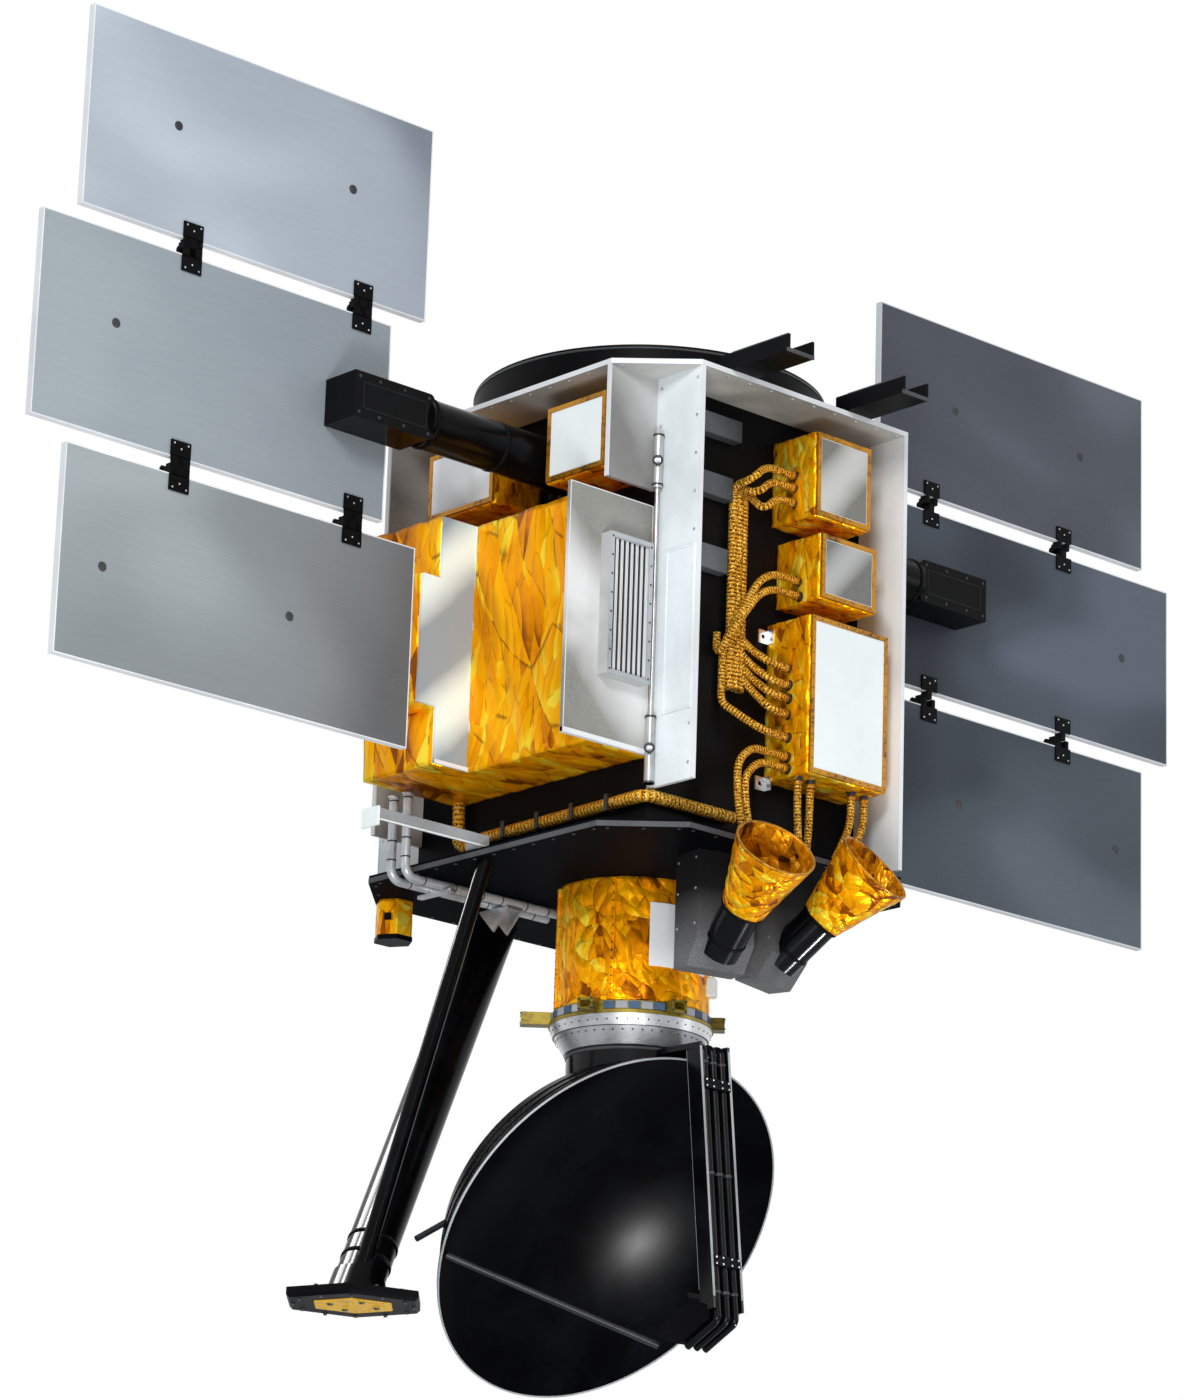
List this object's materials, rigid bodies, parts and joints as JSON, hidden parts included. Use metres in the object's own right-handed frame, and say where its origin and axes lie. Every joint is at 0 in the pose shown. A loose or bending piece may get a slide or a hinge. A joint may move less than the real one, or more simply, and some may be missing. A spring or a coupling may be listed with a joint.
{
  "type": "satellite",
  "caption": "Earth-observing satellite with a spinning dish, foil-wrapped bays, star trackers, a braced mast and folding solar wings.",
  "frame": {"origin": "centre of the launch adapter ring's upper face", "axes": "+Z from the dish to the launch adapter, +X along the right solar wing, -Y towards the equipment bay with the three boxes"},
  "size_m": [4.056, 1.4134, 3.1341],
  "materials": {
    "black_paint": "satin black with fine specks",
    "black_gloss": "smooth black composite with bright highlights",
    "dark_grey": "satin dark grey",
    "grey_paint": "satin light grey, shaded",
    "white_paint": "satin white",
    "radiator_white": "smooth white radiator face",
    "gold_foil": "crinkled gold film",
    "gold_metal": "yellow gold plated metal",
    "silver": "polished silver grey",
    "panel_grey": "brushed blue-grey skin, dark cells on the other face",
    "dish_black": "glossy black composite"
  },
  "bodies": {
    "bus": {"lower_deck": "black_paint", "upper_deck": "grey_paint", "core": "black_paint", "bay_walls_y": "white_paint", "bay_walls_x": "grey_paint", "adapter_ring": "black_paint", "deck_brackets": "black_paint", "front_boxes": "gold_foil", "side_boxes": "gold_foil", "rear_boxes": "gold_foil", "radiator_plates": "radiator_white", "box_lugs": "silver", "wall_plates": "grey_paint", "stepped_box": "gold_foil", "step_panel": "white_paint", "louvre_fin": "white_paint", "louvre": "silver", "harness_trunk": "gold_foil", "harness_branches": "gold_foil", "lower_harness": "gold_foil", "corner_rod": "silver", "tracker_housings": "dark_grey", "tracker_barrels": "black_gloss", "tracker_baffles": "gold_foil", "deck_pipes": "silver", "pipe_supports": "silver", "outrigger": "grey_paint", "sun_sensor": "gold_foil", "mast_tube": "black_gloss", "mast_brace": "black_gloss", "mast_head": "black_paint", "drum": "gold_foil", "drum_band": "gold_metal", "bearing_housing": "silver", "drive_collar_left": "black_paint", "drive_collar_right": "black_paint"},
    "dish_assembly": {"spin_hub": "black_gloss", "dish": "dish_black", "dish_backing": "dish_black", "feed_arm": "black_gloss", "feed_box": "black_paint", "waveguides": "black_gloss", "guide_clamps": "black_paint", "feed_strut": "black_gloss", "balance_rod": "black_gloss"},
    "left_wing": {"wing_drive_left": "black_gloss", "panel_middle_left": "panel_grey", "hinges_left": "black_paint"},
    "left_upper_panel": {"panel_upper_left": "panel_grey", "hinge_leaves_upper_left": "black_paint"},
    "left_lower_panel": {"panel_lower_left": "panel_grey", "hinge_leaves_lower_left": "black_paint"},
    "right_wing": {"wing_drive_right": "black_gloss", "panel_middle_right": "panel_grey", "hinges_right": "black_paint"},
    "right_upper_panel": {"panel_upper_right": "panel_grey", "hinge_leaves_upper_right": "black_paint"},
    "right_lower_panel": {"panel_lower_right": "panel_grey", "hinge_leaves_lower_right": "black_paint"}
  },
  "joints": [
    {"name": "dish_spin", "type": "hinge", "parent": "bus", "child": "dish_assembly", "pos_m": [0, 0, -1.846], "axis": [0, 0, 1], "continuous": true},
    {"name": "left_wing_drive", "type": "hinge", "parent": "bus", "child": "left_wing", "pos_m": [-0.372, -0.11, -0.307], "axis": [1, 0, 0], "continuous": true},
    {"name": "left_upper_fold", "type": "hinge", "parent": "left_wing", "child": "left_upper_panel", "pos_m": [-1, -0.0175, -0.023], "axis": [-1, 0, 0], "range_deg": [0, 180]},
    {"name": "left_lower_fold", "type": "hinge", "parent": "left_wing", "child": "left_lower_panel", "pos_m": [-1, -0.0015, -0.591], "axis": [1, 0, 0], "range_deg": [0, 180]},
    {"name": "right_wing_drive", "type": "hinge", "parent": "bus", "child": "right_wing", "pos_m": [0.372, -0.11, -0.307], "axis": [1, 0, 0], "continuous": true},
    {"name": "right_upper_fold", "type": "hinge", "parent": "right_wing", "child": "right_upper_panel", "pos_m": [1, -0.0175, -0.023], "axis": [-1, 0, 0], "range_deg": [0, 180]},
    {"name": "right_lower_fold", "type": "hinge", "parent": "right_wing", "child": "right_lower_panel", "pos_m": [1, -0.0015, -0.591], "axis": [1, 0, 0], "range_deg": [0, 180]}
  ]
}
